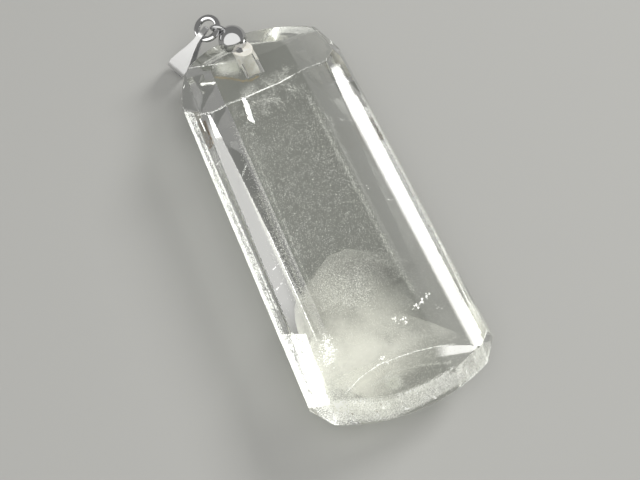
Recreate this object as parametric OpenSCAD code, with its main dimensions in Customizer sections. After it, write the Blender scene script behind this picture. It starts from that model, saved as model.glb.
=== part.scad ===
// Quartz pendant lying on its flat back. A long clear stone with a flat back,
// steep sides, a slightly domed front and one drilled end. A domed metal cap
// with an eye is glued into that end, and a jump ring carries a folded bail. Two
// ghost crystals, layers of pale dust on earlier tips, are enclosed in the stone.
// X is the width, Y the length (the drilled end at +Y), Z up from the surface.

/* [Stone] */
// Width across the widest line of the stone
stone_w = 21.6; // [21:0.1:22.4]
// Thickness at the middle of the front
stone_t = 9.1; // [8.8:0.1:9.6]
// Width of the flat strip on the back
back_w = 10; // [8:0.5:12]
// Height of the widest line above the back
girdle_z = 4.5; // [4.2:0.1:4.8]
// Height where the steep side meets the front bevel
side_z = 7.3; // [7.1:0.1:7.5]
// How far the steep side leans in over its height
side_in = 1.15; // [0.9:0.05:1.3]
// How much each long side runs out toward the lower end, in degrees
side_flare = 0.4; // [0:0.1:0.8]
// Tilt of the right front bevel below level, in degrees
bevel_tilt = 28; // [26:1:30]
// Turn in plan of the left front bevel, in degrees
left_bevel_turn = 1.5; // [0:0.1:2.6]
// Radius of the domed front
front_r = 55; // [50:1:70]

/* [Lower end] */
// Radius in plan of the rounded lower rim
low_r = 22; // [20:0.5:24]
// Distance from the origin to the lowest point of the rim
low_y = 27; // [26.5:0.1:27.5]
// How far the end wall leans in above the rim, in degrees
low_wall = 19.4; // [15:0.5:22]
// How far the back slopes in below the rim
low_back_in = 3.6; // [3:0.1:4]
// Slope of the broad facet in front of the end wall, in degrees
low_slope = 17.5; // [15:0.5:20]
// Where that facet starts on the front
low_facet_y = 22.2; // [21.8:0.1:22.6]

/* [Drilled end] */
// Radius in plan of the rounded upper rim
top_r = 11.3; // [11:0.1:11.6]
// Distance from the origin to the highest point of the rim
top_y = 27.2; // [27:0.1:27.4]
// Slope of the broad facet in front of the seat, in degrees
top_slope = 19; // [17:0.5:21]
// Where that facet starts on the front
top_facet_y = 15; // [14.6:0.1:15.2]
// Turn in plan of that facet, in degrees
top_turn = 5; // [0:0.5:7]
// Slope of the seat facet that carries the cap, in degrees
seat_slope = 30; // [28:0.5:32]
// Diameter of the drilled hole
hole_d = 2.5; // [2.2:0.1:2.8]
// Where the hole ends, from the origin
hole_end_y = 17.9; // [17:0.1:19]

/* [Ghost crystals] */
// Distance from the origin to the tip of the upper ghost
upper_ghost_y = 7.2; // [7:0.1:7.6]
// Thickness along the length of the dust layer on it
ghost_skin = 0.9; // [0.7:0.1:1.2]
// Distance from the origin to the tip of the lower ghost
lower_ghost_y = 13.5; // [13.4:0.1:14]
// How far below the stone's surface the lower ghost ends
ghost_inset = 1.1; // [0.8:0.1:1.4]

/* [Fittings] */
// Diameter of the domed cap
cap_d = 3.6; // [3.4:0.1:3.7]
// Diameter of the peg in the hole
peg_d = 0.9; // [0.7:0.05:1]
// Wire diameter of the eye on the cap
eye_wire = 0.5; // [0.4:0.02:0.5]
// Wire diameter of the jump ring
ring_wire = 0.8; // [0.7:0.02:0.8]
// Outer diameter of the jump ring
ring_od = 3.6; // [3.5:0.02:3.6]
// Width of the bail at its fold
bail_w = 2.5; // [2.2:0.1:2.6]
// Width of the bail where it grips the ring
bail_tip_w = 0.6; // [0.5:0.05:0.7]
// Depth of the bail at its fold
bail_depth = 2.4; // [2.3:0.05:2.5]
// Sheet thickness of the bail
bail_sheet = 0.3; // [0.26:0.02:0.34]

/* [Hidden] */
$fn = 96;
big = 120;
fit_gap = 0.03;

// rounded ends in plan: centre of each rim circle, and height of the upper rim
low_c = [0, -low_y + low_r];
top_c = [0.1, top_y - top_r];
top_rim_z = 3.4;
top_wall_in = 0.06;
top_back_in = 3;

// small bevelled corners of the lower rim, and long ones beside the seat
low_corner = [9.95, -23.9];
low_corner_turn = 37;
low_corner_back = 40;
top_corner_x = [-10.37, 10.55];
top_corner_y = 19.9;
top_corner_turn = 16.4;
top_corner_lean = 34.7;

// a point on the left front bevel
left_bevel_p = [-7.55, -4, 8.6];

// ghost crystals in plan: [x, distance below the tip]
upper_plan = [[-7.2, 5], [-5.8, 2.8], [-2.3, 0], [0.1, 0], [1.6, 1.3], [4.3, 3.1], [6.4, 5]];
lower_plan = [[-8.4, 3.6], [-5.6, 0.7], [-3.7, 0], [-0.1, 1.7], [1.3, 3.4], [4.1, 5.9], [7.6, 9.5]];
// both seen along the length: [half width, height]
ghost_section = [[5, 0.9], [9.2, 4.4], [8.6, 7], [6.6, 7.9]];
ghost_mid_z = 4.4;
upper_ghost_end = 12.8;

// seat facet: a point on it and its outward normal
seat_p = [0, 20.9, 7.05];
seat_n = [0, sin(seat_slope), cos(seat_slope)];
hole_x = -0.95;
hole_z = 5.3;
peg_start = 1.2;

// fittings: centre of the dome, direction of the eye, and what hangs on it
cap_c = [-1.55, 25.2, 5.8];
eye_az = 133.8;
eye_el = 30.7;
eye_dir = [cos(eye_el) * cos(eye_az), cos(eye_el) * sin(eye_az), sin(eye_el)];
eye_play = 0.13;
eye_r = ring_wire / 2 + eye_play + eye_wire / 2;
eye_c = cap_c + (cap_d / 2 + 0.47) * eye_dir;

// the jump ring droops toward the bail: a point at angle a round it, seen
// from its centre
ring_r = (ring_od - ring_wire) / 2;
hook_az = 200;
ring_lean = 25;
eye_at = 127;
function ring_point(a) = ring_r * [
  cos(a) * cos(ring_lean) * cos(hook_az) - sin(a) * sin(hook_az),
  cos(a) * cos(ring_lean) * sin(hook_az) + sin(a) * cos(hook_az),
  -cos(a) * sin(ring_lean)];
// the wire hangs a little off the middle of the eye, which faces along it
ring_c = eye_c - ring_point(eye_at) + 0.03 * eye_dir;
eye_way = ring_point(eye_at + 90) / ring_r;

// the bail runs from the ring down to the surface beside the stone
hook_c = ring_c + ring_point(0);
fold_c = [-8.2, 27.2, 1.6];
bail_v = fold_c - hook_c;
bail_l = norm(bail_v);
bail_roll = -42;
// its narrow end is a little slack round the ring's wire
bail_play = 0.26;
bail_past = 0.7;
bail_tip_r = ring_wire / 2 + bail_play + bail_sheet;
bend_steps = 24;

// keeps only what lies inside a plane through p; the outward normal has
// azimuth az in plan and rises el degrees above level
module slice_off(p, az, el)
  translate(p) rotate([0, -el, az]) translate([0, -big / 2, -big / 2]) cube(big);

// a rim circle with a wall above it and a slope below, widened by a block that
// covers the rest of the length on the side away from the end
module rounded_end(c, r, z, wall_in, back_in, dir) {
  h = stone_t + 3;
  translate([c[0], c[1], 0]) cylinder(h = z, r1 = r - back_in, r2 = r);
  translate([c[0], c[1], z]) cylinder(h = h, r1 = r, r2 = r - h * wall_in);
  translate([-40, dir > 0 ? c[1] - 80 : c[1], -1]) cube([80, 80, 20]);
}

module blank() {
  intersection() {
    translate([-20, -40, 0]) cube([40, 80, stone_t + 1]);
    translate([0, 0, stone_t - front_r]) rotate([90, 0, 0])
      cylinder(h = big, r = front_r, center = true);
    rounded_end(low_c, low_r, girdle_z, tan(low_wall), low_back_in, -1);
    rounded_end(top_c, top_r, top_rim_z, top_wall_in, top_back_in, 1);
    // broad facet before the seat, domed like the front
    translate([0, top_facet_y, stone_t]) rotate([-top_slope, 0, top_turn])
      translate([0, 0, -front_r]) rotate([90, 0, 0])
        cylinder(h = big, r = front_r, center = true);
  }
}

module quartz() {
  half = stone_w / 2;
  back_tilt = atan((half - back_w / 2) / girdle_z);
  side_tilt = atan(side_in / (side_z - girdle_z));
  color([0.86, 0.88, 0.86, 0.55])
  difference() {
    blank();
    for (k = [0, 1]) {
      // azimuths are measured from +X, and mirrored for the left side
      s = 2 * k - 1;
      left = k > 0 ? 0 : 180;
      side_p = [s * half, 0, girdle_z];
      slice_off(side_p, left + s * side_flare, side_tilt);
      slice_off(side_p, left + s * side_flare, -back_tilt);
      low_p = [s * low_corner[0], low_corner[1], girdle_z];
      slice_off(low_p, left - s * low_corner_turn, low_wall);
      slice_off(low_p, left - s * low_corner_turn, -low_corner_back);
      slice_off([top_corner_x[k], top_corner_y, girdle_z],
                left + s * top_corner_turn, top_corner_lean);
    }
    slice_off([half - side_in, 0, side_z], side_flare, 90 - bevel_tilt);
    slice_off(left_bevel_p, 180 + left_bevel_turn, 90 - bevel_tilt);
    slice_off([0, -low_facet_y, stone_t], -90, 90 - low_slope);
    slice_off(seat_p, 90, 90 - seat_slope);
    drilled_hole(hole_d);
    upper_ghost_body(fit_gap);
    lower_ghost_body(fit_gap);
  }
}

// a crystal tip that points to +Y: its plan outline, its slopes toward front and
// back, and the section they share; grow widens it evenly on all sides
module crystal_tip(plan, tip_y, end_y, run, rise, grow) {
  wider = 1 + grow / 3;
  tip = tip_y + 2 * grow;
  last = len(plan) - 1;
  right = [for (p = ghost_section) [wider * p[0], ghost_mid_z + wider * (p[1] - ghost_mid_z)]];
  left = [for (i = [len(right) - 1:-1:0]) [-right[i][0], right[i][1]]];
  intersection() {
    linear_extrude(stone_t)
      polygon(concat([for (p = plan) [wider * p[0], tip - p[1]]],
                     [for (i = [last, 0]) [wider * plan[i][0], end_y - grow]]));
    rotate([90, 0, 90]) linear_extrude(big, center = true)
      polygon([[tip, ghost_mid_z], [tip - run, ghost_mid_z + rise], [end_y - grow, ghost_mid_z + rise],
               [end_y - grow, ghost_mid_z - rise], [tip - run, ghost_mid_z - rise]]);
    rotate([90, 0, 0]) linear_extrude(big, center = true) polygon(concat(right, left));
  }
}

// a plan outline with its first and last stretch run on as far again
function run_on(plan) = let (last = len(plan) - 1)
  concat([2 * plan[0] - plan[1]], plan, [2 * plan[last] - plan[last - 1]]);

// the upper ghost is a thin layer of dust, open toward the sides and lower end
module upper_ghost_body(grow)
  difference() {
    crystal_tip(upper_plan, -upper_ghost_y, -upper_ghost_end, 5.2, 3, grow);
    crystal_tip(run_on(upper_plan), -upper_ghost_y - ghost_skin, -upper_ghost_end - 3, 5.2, 3, -grow);
  }

// the lower ghost is dusty all through, down to just inside the stone's end
module lower_ghost_body(grow) {
  inset = ghost_inset - grow;
  difference() {
    intersection() {
      crystal_tip(lower_plan, -lower_ghost_y, -low_y, 4.5, 4, grow);
      rounded_end(low_c, low_r - inset, girdle_z, tan(low_wall), low_back_in, -1);
    }
    slice_off([0, -low_facet_y, stone_t - inset], -90, 90 - low_slope);
  }
}

module upper_ghost()
  color([0.9, 0.9, 0.86]) upper_ghost_body(0);

module lower_ghost()
  color([0.93, 0.93, 0.9]) lower_ghost_body(0);

// blind hole along the length, open at the seat facet
module drilled_hole(d, back_off = 0)
  translate([hole_x, hole_end_y + back_off, hole_z]) rotate([-90, 0, 0])
    cylinder(h = 14, d = d);

// straight peg from inside the dome down the hole
module peg(d, end_off = 0) {
  tip = [hole_x, hole_end_y + peg_start, hole_z];
  v = cap_c - tip;
  len = norm(v);
  translate(tip - end_off * v / len)
    rotate([0, acos(v[2] / len), atan2(v[1], v[0])])
      cylinder(h = len + end_off, d = d);
}

// a plain wire ring about the local Z axis
module wire_ring(r, wire)
  rotate_extrude() translate([r, 0]) circle(d = wire);

module cap() {
  color("silver")
  union() {
    difference() {
      translate(cap_c) sphere(d = cap_d);
      // flat foot that sits on the seat facet
      translate(seat_p + fit_gap * seat_n) rotate([-seat_slope, 0, 0])
        translate([-big / 2, -big / 2, -big]) cube(big);
    }
    peg(peg_d);
    translate(eye_c) rotate([0, acos(eye_way[2]), atan2(eye_way[1], eye_way[0])])
      wire_ring(eye_r, eye_wire);
  }
}

// glue that fills the hole round the peg, to just below the seat facet
module adhesive() {
  color([0.93, 0.92, 0.86])
  difference() {
    drilled_hole(hole_d - 2 * fit_gap, fit_gap);
    slice_off(seat_p - 0.02 * seat_n, 90, 90 - seat_slope);
    peg(peg_d + 2 * fit_gap, fit_gap);
  }
}

module jump_ring() {
  color("silver")
  translate(ring_c) rotate([0, 0, hook_az]) rotate([0, ring_lean, 0])
    wire_ring(ring_r, ring_wire);
}

// loop seen from its side: a wide round fold and a narrow round end, joined by
// straight leaves that run into both arcs
module loop_side(fold_r, tip_r) {
  slant = asin((fold_r - tip_r) / (bail_l + bail_past));
  turn = 90 + slant;
  polygon(concat(
    [for (i = [0:bend_steps]) [bail_l, 0]
      + fold_r * [cos(-turn + 2 * turn * i / bend_steps), sin(-turn + 2 * turn * i / bend_steps)]],
    [for (i = [0:bend_steps]) [-bail_past, 0]
      + tip_r * [cos(turn + 2 * (180 - turn) * i / bend_steps),
                 sin(turn + 2 * (180 - turn) * i / bend_steps)]]));
}

module bail() {
  // one edge of the leaf from the front: [distance from the ring, half width]
  edge = [[-2, bail_tip_w / 2], [0.2, bail_tip_w / 2 + 0.04],
          [2, bail_tip_w / 2 + 0.35], [3.4, bail_w / 2 - 0.25],
          [bail_l - 0.6, bail_w / 2], [bail_l + 2, bail_w / 2]];
  other_edge = [for (i = [len(edge) - 1:-1:0]) [edge[i][0], -edge[i][1]]];
  color("silver")
  translate(hook_c) rotate([0, 0, atan2(bail_v[1], bail_v[0])])
    rotate([0, acos(bail_v[2] / bail_l) - 90, 0]) rotate([bail_roll, 0, 0])
  intersection() {
    rotate([90, 0, 0]) linear_extrude(bail_w, center = true)
      difference() {
        loop_side(bail_depth / 2, bail_tip_r);
        loop_side(bail_depth / 2 - bail_sheet, bail_tip_r - bail_sheet);
      }
    linear_extrude(2 * bail_depth, center = true) polygon(concat(edge, other_edge));
  }
}

quartz();
upper_ghost();
lower_ghost();
cap();
adhesive();
jump_ring();
bail();
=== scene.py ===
# %% [markdown]
# # A quartz pendant with ghost crystals inside
# The stone is a long clear crystal, cut with a flat back and polished facets. A
# small domed cap is glued into its drilled end, and a jump ring and a folded
# bail hang from the cap. The exact solids come from the frame. This script adds
# what the eye reads as quartz: polished edges, the ghost crystals and flecks
# inside it, the glue in the hole, the finish of the metal, and soft light.

# %% Load the frame
import math
import bpy
import bmesh
import numpy as np
from mathutils import Matrix, Vector, noise as noise_field
from mathutils.bvhtree import BVHTree


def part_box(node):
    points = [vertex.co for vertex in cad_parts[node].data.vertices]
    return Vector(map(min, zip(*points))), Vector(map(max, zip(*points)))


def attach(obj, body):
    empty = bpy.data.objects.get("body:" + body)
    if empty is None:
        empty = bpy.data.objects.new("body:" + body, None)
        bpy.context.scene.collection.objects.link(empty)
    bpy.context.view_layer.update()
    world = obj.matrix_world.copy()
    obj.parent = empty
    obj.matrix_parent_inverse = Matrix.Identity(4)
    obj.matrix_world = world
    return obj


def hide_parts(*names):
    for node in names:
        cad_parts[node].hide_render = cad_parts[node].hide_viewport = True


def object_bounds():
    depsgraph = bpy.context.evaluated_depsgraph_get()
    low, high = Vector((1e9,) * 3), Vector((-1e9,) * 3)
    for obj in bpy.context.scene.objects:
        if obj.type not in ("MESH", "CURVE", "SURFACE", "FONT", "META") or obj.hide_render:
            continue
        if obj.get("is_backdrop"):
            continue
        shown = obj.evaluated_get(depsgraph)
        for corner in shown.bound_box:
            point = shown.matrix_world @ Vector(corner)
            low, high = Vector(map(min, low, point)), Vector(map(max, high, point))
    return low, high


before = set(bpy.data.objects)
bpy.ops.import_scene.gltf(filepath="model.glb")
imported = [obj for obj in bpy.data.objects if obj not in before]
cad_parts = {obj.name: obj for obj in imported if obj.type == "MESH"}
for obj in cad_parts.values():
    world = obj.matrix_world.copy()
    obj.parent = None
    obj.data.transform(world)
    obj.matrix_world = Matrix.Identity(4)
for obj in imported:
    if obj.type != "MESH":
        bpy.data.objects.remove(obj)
cad_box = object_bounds()
MM = 0.001
print("nodes:", ", ".join(sorted(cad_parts)))

# %% [markdown]
# ## Where the photograph was taken from
# The pendant lies on its back and the camera looks down at it from beyond its
# lower end. A short telephoto lens close above the stone gives the same mild
# perspective as the photograph. The camera stays well above the floor.

# %% Camera at the photograph's angle
CAMERA_AT = Vector((-22.68, -53.36, 112.85)) * MM
CAMERA_AIM = Vector((-2.14, -4.51, 5.0)) * MM
LENS_MM = 59.06


def add_object(name, data):
    """An object in the scene that holds that camera, light or mesh."""
    made = bpy.data.objects.new(name, data)
    bpy.context.scene.collection.objects.link(made)
    return made


def point_at(obj, target):
    """Turns a camera or a light so that it looks at target, with its top up."""
    obj.rotation_euler = (target - obj.location).to_track_quat("-Z", "Y").to_euler()


lens = bpy.data.cameras.new("photo_camera")
lens.lens = LENS_MM
lens.clip_start = 0.005
camera = add_object("photo_camera", lens)
camera.location = CAMERA_AT
point_at(camera, CAMERA_AIM)
bpy.context.scene.camera = camera
print("camera height %.0f mm" % (CAMERA_AT.z / MM))

# %% [markdown]
# ## Floor and light
# A polished stone shows its surroundings more than its own colour. A big soft
# light overhead, a weaker window light from the right and a pale room do the
# lighting. The window light gives the soft shadow on the left of the stone. What
# the facets and the metal mirror is set up later, when those pieces are there.

# %% Floor and room
FLOOR_GAP = 0.05 * MM
FLOOR_SIZE = 6.0
FLOOR_COLOUR = (0.50, 0.50, 0.49)
ROOM_GREY = 0.30


def plain_material(name, colour, roughness):
    """A Principled material with one colour, for the floor."""
    material = bpy.data.materials.new(name)
    material.use_nodes = True
    shader = material.node_tree.nodes["Principled BSDF"]
    shader.inputs["Base Color"].default_value = (*colour, 1)
    shader.inputs["Roughness"].default_value = roughness
    return material


bpy.ops.mesh.primitive_plane_add(size=FLOOR_SIZE, location=(0, 0, -FLOOR_GAP))
floor = bpy.context.object
floor.name = "floor"
floor.data.materials.append(plain_material("pale_floor", FLOOR_COLOUR, 0.9))
floor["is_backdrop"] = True

world = bpy.data.worlds.new("soft_room")
world.use_nodes = True
room = world.node_tree.nodes["Background"]
room.inputs["Color"].default_value = (ROOM_GREY, ROOM_GREY, ROOM_GREY * 0.97, 1)
room.inputs["Strength"].default_value = 1.0
bpy.context.scene.world = world
bpy.context.scene.view_settings.view_transform = "Standard"
print("room grey", ROOM_GREY, "floor", FLOOR_COLOUR)

# %% Soft light
LIGHT_COLOUR = (1.0, 0.995, 0.965)


def soft_light(name, at, aim, width, height, glow):
    """A rectangular light, as bright all over as glow says."""
    data = bpy.data.lights.new(name, "AREA")
    data.shape = "RECTANGLE"
    data.size = width
    data.size_y = height
    data.energy = glow * math.pi * width * height
    data.color = LIGHT_COLOUR
    light = add_object(name, data)
    light.location = at
    point_at(light, Vector(aim))
    return light


overhead = soft_light("overhead", at=(-0.05, -0.16, 0.42), aim=(0, 0, 0),
                      width=0.50, height=0.50, glow=1.35)
window = soft_light("window", at=(0.42, 0.14, 0.30), aim=(0, 0, 0),
                    width=0.16, height=0.16, glow=19.0)
# the stone would show both as hard white patches, so it sees only its own cards
for light in (overhead, window):
    light.visible_glossy = False
    light.visible_transmission = False
print("lights:", overhead.name, window.name)

# %% [markdown]
# ## Shared effects as node groups
# Polished quartz and polished silver both carry the same faint hairlines from
# wiping and wear, so the hairlines are one node group with its scale and amount
# as inputs. Stretched noise makes lines without any image. The cloud group
# breaks up a flat colour, and the glue and the inclusions share it.

# %% Node group helpers


def new_group(name, inputs, outputs):
    """An empty shader node group with float or vector sockets."""
    group = bpy.data.node_groups.new(name, "ShaderNodeTree")
    for label, kind, value in inputs:
        socket = group.interface.new_socket(label, in_out="INPUT", socket_type=kind)
        if value is not None:
            socket.default_value = value
    for label, kind in outputs:
        group.interface.new_socket(label, in_out="OUTPUT", socket_type=kind)
    return group, group.nodes.new("NodeGroupInput"), group.nodes.new("NodeGroupOutput")


def node(tree, kind, **settings):
    """Adds a node. A setting that names an input socket fills that socket."""
    made = tree.nodes.new(kind)
    for key, value in settings.items():
        if hasattr(made, key):
            setattr(made, key, value)
        else:
            made.inputs[key.replace("_", " ")].default_value = value
    return made


def ranged(tree, value, span=(0, 1), into=(0, 1), **settings):
    """Stretches value from one span into another, and stops at the ends."""
    made = node(tree, "ShaderNodeMapRange", From_Min=span[0], From_Max=span[1],
                To_Min=into[0], To_Max=into[1], **settings)
    tree.links.new(value, made.inputs["Value"])
    return made.outputs["Result"]


def combined(tree, operation, first, second):
    """Works out one value from two, each an output of a node or a number."""
    made = node(tree, "ShaderNodeMath", operation=operation)
    for value, socket in zip((first, second), made.inputs):
        if isinstance(value, bpy.types.NodeSocket):
            tree.links.new(value, socket)
        else:
            socket.default_value = value
    return made.outputs[0]


print("helpers: new_group, node, ranged, combined")

# %% Hairline wear group
LINE_EDGES = (0.66, 0.76)
hairlines, h_in, h_out = new_group(
    "hairline_wear",
    [("Vector", "NodeSocketVector", None), ("Scale", "NodeSocketFloat", 900.0),
     ("Amount", "NodeSocketFloat", 0.5)],
    [("Mask", "NodeSocketFloat"), ("Height", "NodeSocketFloat")])
line_masks = []
for turn, stretch in ((0.35, 14.0), (-0.9, 22.0)):
    mapping = node(hairlines, "ShaderNodeMapping")
    mapping.inputs["Rotation"].default_value = (0.2, 0.1, turn)
    mapping.inputs["Scale"].default_value = (1.0, 1.0 / stretch, 1.0)
    noise = node(hairlines, "ShaderNodeTexNoise", Detail=3.0, Roughness=0.6)
    hairlines.links.new(h_in.outputs["Vector"], mapping.inputs["Vector"])
    hairlines.links.new(mapping.outputs["Vector"], noise.inputs["Vector"])
    hairlines.links.new(h_in.outputs["Scale"], noise.inputs["Scale"])
    line_masks.append(ranged(hairlines, noise.outputs["Fac"], LINE_EDGES))
either = combined(hairlines, "MAXIMUM", *line_masks)
amount = combined(hairlines, "MULTIPLY", either, h_in.outputs["Amount"])
hairlines.links.new(amount, h_out.inputs["Mask"])
hairlines.links.new(combined(hairlines, "SUBTRACT", 1.0, amount), h_out.inputs["Height"])
print("hairline directions:", len(line_masks))

# %% Cloud group
cloud, c_in, c_out = new_group(
    "cloud",
    [("Vector", "NodeSocketVector", None), ("Scale", "NodeSocketFloat", 300.0),
     ("Low", "NodeSocketFloat", 0.4), ("High", "NodeSocketFloat", 0.6)],
    [("Mask", "NodeSocketFloat")])
puff = node(cloud, "ShaderNodeTexNoise", Detail=5.0, Roughness=0.62, Distortion=0.4)
spread = node(cloud, "ShaderNodeMapRange", clamp=True)
cloud.links.new(c_in.outputs["Vector"], puff.inputs["Vector"])
cloud.links.new(c_in.outputs["Scale"], puff.inputs["Scale"])
cloud.links.new(puff.outputs["Fac"], spread.inputs["Value"])
cloud.links.new(c_in.outputs["Low"], spread.inputs["From Min"])
cloud.links.new(c_in.outputs["High"], spread.inputs["From Max"])
cloud.links.new(spread.outputs["Result"], c_out.inputs["Mask"])
print("groups:", ", ".join(g.name for g in bpy.data.node_groups))

# %% [markdown]
# ## The quartz
# Clear quartz has a refractive index of 1.544, a little more than window glass.
# A pure glass shader would cast a black shadow here, because the light cannot be
# traced back through it, so rays that only ask how much light reaches a point
# pass straight through the stone. A very light absorption gives the thick stone
# its slightly smoky depth.

# %% Material helpers


def place_group(tree, group, vector, **values):
    """Places a node group, fed with vector, with its own values."""
    placed = tree.nodes.new("ShaderNodeGroup")
    placed.node_tree = group
    tree.links.new(vector, placed.inputs["Vector"])
    for key, value in values.items():
        placed.inputs[key].default_value = value
    return placed


def new_material(name, colour, **sockets):
    """A Principled material and its tree, shader and object coordinates."""
    material = bpy.data.materials.new(name)
    material.use_nodes = True
    tree = material.node_tree
    shader = tree.nodes["Principled BSDF"]
    shader.inputs["Base Color"].default_value = (*colour, 1)
    for key, value in sockets.items():
        shader.inputs[key.replace("_", " ")].default_value = value
    place = tree.nodes.new("ShaderNodeTexCoord").outputs["Object"]
    return material, tree, shader, place


def link_range(tree, value, socket, low, high):
    """Feeds socket with value, from 0 to 1, stretched to run from low to high."""
    tree.links.new(ranged(tree, value, into=(low, high)), socket)


def link_bump(tree, height, shader, strength, distance):
    """Feeds the shader's normal with a bump of that height."""
    bump = node(tree, "ShaderNodeBump")
    bump.inputs["Strength"].default_value = strength
    bump.inputs["Distance"].default_value = distance
    tree.links.new(height, bump.inputs["Height"])
    tree.links.new(bump.outputs["Normal"], shader.inputs["Normal"])


print("helpers: place_group, new_material, link_range, link_bump")

# %% Quartz material
QUARTZ_IOR = 1.544
STONE_TINT = (0.67, 0.68, 0.66)
SMOKE_COLOUR = (0.64, 0.65, 0.61)
SMOKE_PER_M = 9.0
LAST_BOUNCE = 3


def let_light_in(tree, shader, tint):
    """Shadow, diffuse and often mirrored rays pass straight through, dimmed by tint."""
    clear = node(tree, "ShaderNodeBsdfTransparent")
    clear.inputs["Color"].default_value = (*tint, 1)
    path = node(tree, "ShaderNodeLightPath")
    soft = combined(tree, "MAXIMUM", path.outputs["Is Shadow Ray"],
                    path.outputs["Is Diffuse Ray"])
    late = combined(tree, "GREATER_THAN", path.outputs["Ray Depth"], LAST_BOUNCE)
    mix = node(tree, "ShaderNodeMixShader")
    tree.links.new(combined(tree, "MAXIMUM", soft, late), mix.inputs["Fac"])
    tree.links.new(shader.outputs[0], mix.inputs[1])
    tree.links.new(clear.outputs[0], mix.inputs[2])
    tree.links.new(mix.outputs[0], tree.nodes["Material Output"].inputs["Surface"])


quartz_look, tree, shader, place = new_material(
    "polished_quartz", (1, 1, 1), Transmission_Weight=1.0, IOR=QUARTZ_IOR)
wear = place_group(tree, hairlines, place, Scale=1100.0, Amount=0.6)
link_range(tree, wear.outputs["Mask"], shader.inputs["Roughness"], low=0.0, high=0.10)
link_bump(tree, wear.outputs["Height"], shader, strength=0.10, distance=0.02 * MM)
let_light_in(tree, shader, STONE_TINT)
smoke = node(tree, "ShaderNodeVolumeAbsorption")
smoke.inputs["Color"].default_value = (*SMOKE_COLOUR, 1)
smoke.inputs["Density"].default_value = SMOKE_PER_M
tree.links.new(smoke.outputs[0], tree.nodes["Material Output"].inputs["Volume"])
print("quartz IOR", QUARTZ_IOR)

# %% [markdown]
# ## The stone and its ridges
# The facets of a polished stone meet in narrow rounded ridges, and each ridge
# catches a thread of light. The exact solid has knife edges, so a copy of it
# gets its flat triangles merged into whole facets, and a bevel of about a tenth
# of a millimetre on every real ridge, and a wider one along the right bevel,
# where the photograph shows a soft edge of light. Weighted normals keep the
# facets flat. The solid also has closed hollows for the ghosts. In the real
# stone the crystal grew over them without a gap, so this copy has none.

# %% Facets and ridges of a solid
WIDE_RIDGE_MM = 0.42
FINE_RIDGE = 0.18
RIDGE_ANGLE = math.radians(9)
SAME_FACET = math.radians(0.3)


def from_bmesh(work, name):
    """The object that a bmesh becomes, with smooth shading."""
    mesh = bpy.data.meshes.new(name)
    work.to_mesh(mesh)
    work.free()
    for face in mesh.polygons:
        face.use_smooth = True
    return add_object(name, mesh)


def inner_skins(work):
    """The vertices of every closed skin but the one that starts at the lowest point."""
    start = min(work.verts, key=lambda v: v.co.z)
    outer, edge_of_search = {start}, [start]
    while edge_of_search:
        for edge in edge_of_search.pop().link_edges:
            for vert in edge.verts:
                if vert not in outer:
                    outer.add(vert)
                    edge_of_search.append(vert)
    return [v for v in work.verts if v not in outer]


def merged_copy(cad_node, name, is_wide):
    """A copy of the node with whole facets, and a bevel weight on every ridge."""
    work = bmesh.new()
    work.from_mesh(cad_node.data)
    bmesh.ops.remove_doubles(work, verts=work.verts, dist=1e-7)
    grown_over = inner_skins(work)
    print(name, "inner skins closed:", len(grown_over), "vertices")
    bmesh.ops.delete(work, geom=grown_over, context="VERTS")
    bmesh.ops.dissolve_limit(work, angle_limit=SAME_FACET,
                             verts=work.verts, edges=work.edges)
    weight = work.edges.layers.float.new("bevel_weight_edge")
    counts = [0, 0]
    for edge in work.edges:
        if edge.calc_face_angle(0) > RIDGE_ANGLE:
            wide = is_wide(edge)
            edge[weight] = 1.0 if wide else FINE_RIDGE
            counts[wide] += 1
    print(name, "fine ridges %d, wide ridges %d" % tuple(counts))
    return from_bmesh(work, name)


print("fine ridges %.3f mm wide" % (WIDE_RIDGE_MM * FINE_RIDGE))

# %% The stone with its rounded ridges
RIGHT_OF_MM = 5.5
ABOVE_MM = 8.0
LENGTHWISE = 0.96
LONGER_THAN_MM = 4.0
RIDGE_STEPS = 4
FACE_WEIGHT = 60


def is_front_ridge(edge):
    """True for the long ridge between the domed front and the right bevel."""
    a, b = (v.co / MM for v in edge.verts)
    along = b - a
    on_right = min(a.x, b.x) > RIGHT_OF_MM and min(a.z, b.z) > ABOVE_MM
    return on_right and abs(along.y) > LENGTHWISE * along.length > LONGER_THAN_MM


def round_ridges(piece, width, segments, angle=None, clamp=False):
    """Bevels the weighted edges, or those sharper than angle; facets stay flat.

    clamp keeps a bevel from running over its neighbours, as a ghost needs.
    """
    bevel = piece.modifiers.new("ridges", "BEVEL")
    bevel.width = width
    bevel.segments = segments
    bevel.use_clamp_overlap = clamp
    bevel.limit_method = "WEIGHT" if angle is None else "ANGLE"
    if angle is not None:
        bevel.angle_limit = angle
    normals = piece.modifiers.new("flat_facets", "WEIGHTED_NORMAL")
    normals.mode = "FACE_AREA"
    normals.weight = FACE_WEIGHT


stone = merged_copy(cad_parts["quartz"], "quartz_stone", is_front_ridge)
stone.data.materials.append(quartz_look)
round_ridges(stone, WIDE_RIDGE_MM * MM, RIDGE_STEPS)
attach(stone, "root")
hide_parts("quartz")
print("stone facets:", len(stone.data.polygons))

# %% [markdown]
# ## White cards for the facets
# Jewellery is lit with white cards that stand where a facet mirrors them. Each
# card here is worked out backwards: a line of sight goes from the camera through
# a corner of the highlight in the photograph, meets the facet and bounces off,
# and the card stands where the four bounced lines end. It fades out over a
# margin, so a highlight can end softly. The cards light only the stone, and only
# in mirrored light, so the floor and the metal keep their own even light.

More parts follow.
